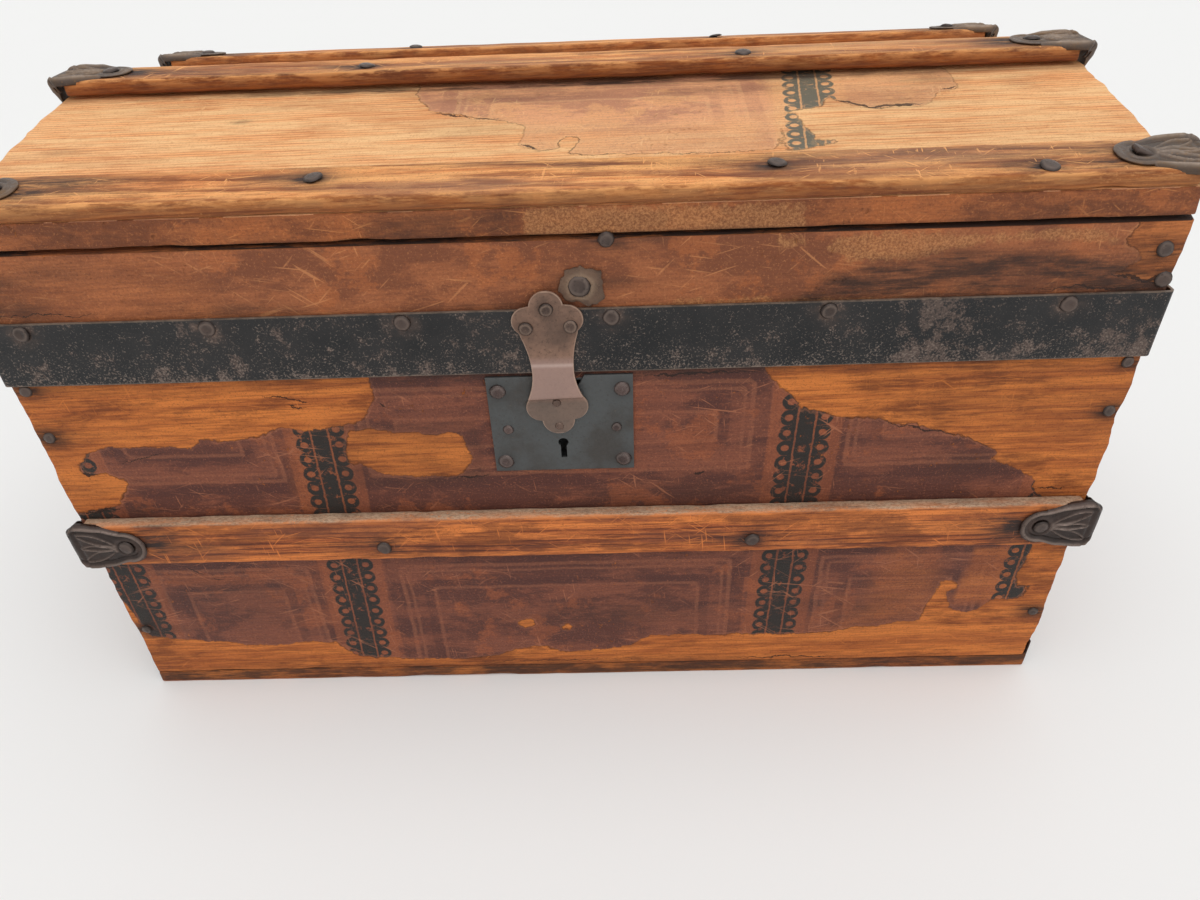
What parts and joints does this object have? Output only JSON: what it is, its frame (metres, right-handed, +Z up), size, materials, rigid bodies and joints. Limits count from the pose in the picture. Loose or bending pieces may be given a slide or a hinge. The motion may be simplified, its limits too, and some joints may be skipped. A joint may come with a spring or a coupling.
{
  "type": "keepsake trunk",
  "caption": "Small wooden keepsake trunk with a low ridged lid, slats with sheet-metal clamps, a rim band, a hasp lock, back hinges and end handles.",
  "frame": {"origin": "middle of the flat underside, on the surface that the trunk stands on", "axes": "+Z up, the front with the lock faces -Y, +X along the length to the right of someone who faces the front"},
  "size_m": [0.427, 0.2253, 0.2461],
  "materials": {
    "bare_pine": "aged bare pine, dry and scratched",
    "papered_pine": "pine under worn printed paper",
    "slat_wood": "slat wood, aged varnish",
    "clamp_iron": "stamped sheet iron, dark brown",
    "band_iron": "black japanned sheet iron, worn",
    "lock_iron": "blued sheet iron",
    "hasp_metal": "coppered sheet, dull",
    "nail_iron": "dark iron nails",
    "rivet_metal": "worn rivets",
    "tin": "rusted tin",
    "hinge_iron": "stamped sheet iron",
    "handle_leather": "old brown leather",
    "lock_steel": "lock parts"
  },
  "bodies": {
    "trunk_body": {"body_back_board": "papered_pine", "body_back_corner_nails": "nail_iron", "body_clamp_nails": "nail_iron", "body_front_board": "papered_pine", "body_front_corner_nails": "nail_iron", "body_front_slat": "slat_wood", "body_hinge_leaf_left": "hinge_iron", "body_hinge_leaf_right": "hinge_iron", "body_hinge_nails": "nail_iron", "body_left_end": "papered_pine", "body_right_end": "papered_pine", "body_slat_clamp_left": "clamp_iron", "body_slat_clamp_right": "clamp_iron", "body_slat_nails": "nail_iron", "bottom_board": "bare_pine", "bottom_iron_left": "clamp_iron", "bottom_iron_nails": "nail_iron", "bottom_iron_right": "clamp_iron", "handle_caps_left": "clamp_iron", "handle_caps_right": "clamp_iron", "handle_nails": "nail_iron", "hinge_pins": "hinge_iron", "leather_handle_left": "handle_leather", "leather_handle_right": "handle_leather", "lock_case": "lock_iron", "lock_case_rivets": "rivet_metal", "lock_plate": "lock_iron", "lock_plate_nails": "rivet_metal", "lock_spring": "lock_steel"},
    "lid": {"band_nails": "nail_iron", "hasp": "hasp_metal", "hasp_rivets": "rivet_metal", "hasp_staple": "rivet_metal", "lid_back_board": "papered_pine", "lid_back_nails": "nail_iron", "lid_band": "band_iron", "lid_clamp_nails": "nail_iron", "lid_front_board": "papered_pine", "lid_front_clamp_left": "clamp_iron", "lid_front_clamp_right": "clamp_iron", "lid_front_nails": "nail_iron", "lid_front_slat": "slat_wood", "lid_hinge_leaf_left": "hinge_iron", "lid_hinge_leaf_right": "hinge_iron", "lid_hinge_nails": "nail_iron", "lid_left_end": "papered_pine", "lid_rear_clamp_left": "clamp_iron", "lid_rear_clamp_right": "clamp_iron", "lid_rear_slat": "slat_wood", "lid_ridge_clamp_left": "clamp_iron", "lid_ridge_clamp_right": "clamp_iron", "lid_ridge_slat": "slat_wood", "lid_right_end": "papered_pine", "lid_slat_nails": "nail_iron", "lid_top_front_board": "bare_pine", "lid_top_rear_board": "bare_pine", "tin_washer": "tin", "washer_nail": "nail_iron"},
    "bolt": {"lock_bolt": "lock_steel"}
  },
  "joints": [
    {"name": "lid_hinge", "type": "hinge", "parent": "trunk_body", "child": "lid", "pos_m": [0, 0.107, 0.17025], "axis": [-1, 0, 0], "range_deg": [0, 105]},
    {"name": "bolt_slide", "type": "slide", "parent": "trunk_body", "child": "bolt", "axis": [1, 0, 0], "range_m": [0, 0.006]}
  ]
}
